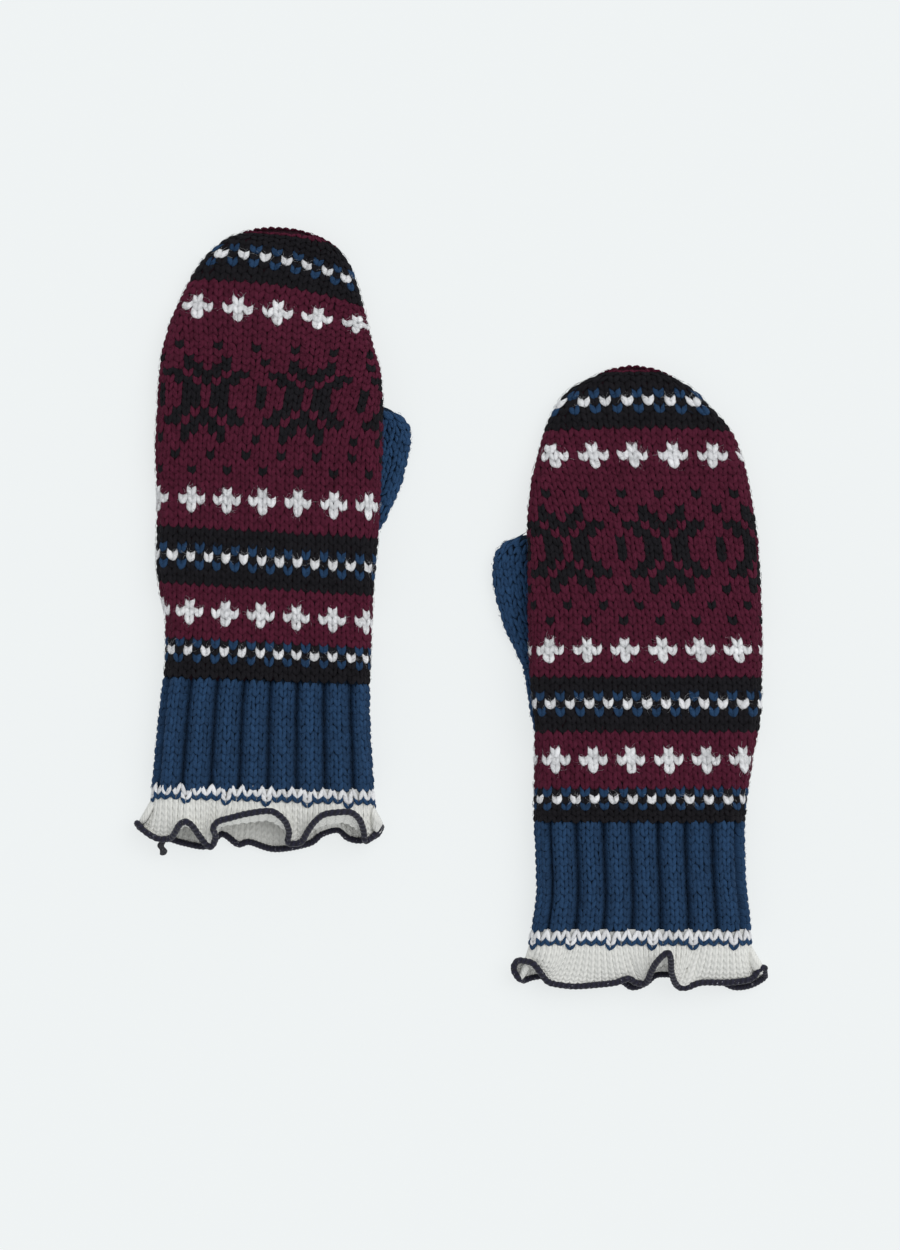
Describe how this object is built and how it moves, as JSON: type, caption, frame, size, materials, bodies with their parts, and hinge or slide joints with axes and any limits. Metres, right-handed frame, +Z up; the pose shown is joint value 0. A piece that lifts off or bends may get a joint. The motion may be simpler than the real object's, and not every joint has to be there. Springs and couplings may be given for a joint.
{
  "type": "knitted mittens",
  "caption": "Knitted wool mittens with burgundy star and snowflake colourwork, ribbed blue cuffs, blue thumbs and ruffled white frills with a dark rolled edge.",
  "frame": {"origin": "bottom centre of the pair's bounding box, on the surface the mittens lie on", "axes": "+Y toward the fingertips, +Z up out of the backs of the hands, +X toward the right mitten"},
  "size_m": [0.2734, 0.332, 0.0195],
  "materials": {
    "colourwork_knit": "thick wool knitted in burgundy, black, blue and white stitches, matt",
    "burgundy_wool": "burgundy wool yarn, matt",
    "blue_wool": "navy-blue wool in plain knitting, matt",
    "blue_rib": "navy-blue wool in wide ribs, matt",
    "two_colour_band": "white and blue wool stitches, matt",
    "white_knit": "off-white wool in fine ribbed knitting, matt",
    "navy_edging": "near-black navy yarn in a rolled, wrapped edge, matt"
  },
  "bodies": {
    "left_cuff_body": {"left_cuff": "blue_rib", "left_hem_band": "two_colour_band", "left_frill": "white_knit", "left_frill_edging": "navy_edging"},
    "left_hand_body": {"left_hand": "colourwork_knit", "left_crown_seam": "burgundy_wool", "left_thumb_seam": "blue_wool"},
    "left_thumb_body": {"left_thumb": "blue_wool"},
    "right_cuff_body": {"right_cuff": "blue_rib", "right_hem_band": "two_colour_band", "right_frill": "white_knit", "right_frill_edging": "navy_edging"},
    "right_hand_body": {"right_hand": "colourwork_knit", "right_crown_seam": "burgundy_wool", "right_thumb_seam": "blue_wool"},
    "right_thumb_body": {"right_thumb": "blue_wool"}
  },
  "joints": [
    {"name": "right_mitten_lift", "type": "slide", "parent": "left_cuff_body", "child": "right_cuff_body", "axis": [0, 0, 1], "range_m": [0, 0.15]},
    {"name": "left_wrist_bend", "type": "hinge", "parent": "left_cuff_body", "child": "left_hand_body", "pos_m": [-0.0827, -0.033, 0.016], "axis": [1, 0, 0], "range_deg": [0, 60]},
    {"name": "left_thumb_swing", "type": "hinge", "parent": "left_hand_body", "child": "left_thumb_body", "pos_m": [-0.0546, 0.025, 0], "axis": [0, 0, -1], "range_deg": [-10, 40]},
    {"name": "right_wrist_bend", "type": "hinge", "parent": "right_cuff_body", "child": "right_hand_body", "pos_m": [0.0827, -0.094, 0.016], "axis": [1, 0, 0], "range_deg": [0, 60]},
    {"name": "right_thumb_swing", "type": "hinge", "parent": "right_hand_body", "child": "right_thumb_body", "pos_m": [0.0546, -0.036, 0], "axis": [0, 0, 1], "range_deg": [-10, 40]}
  ]
}
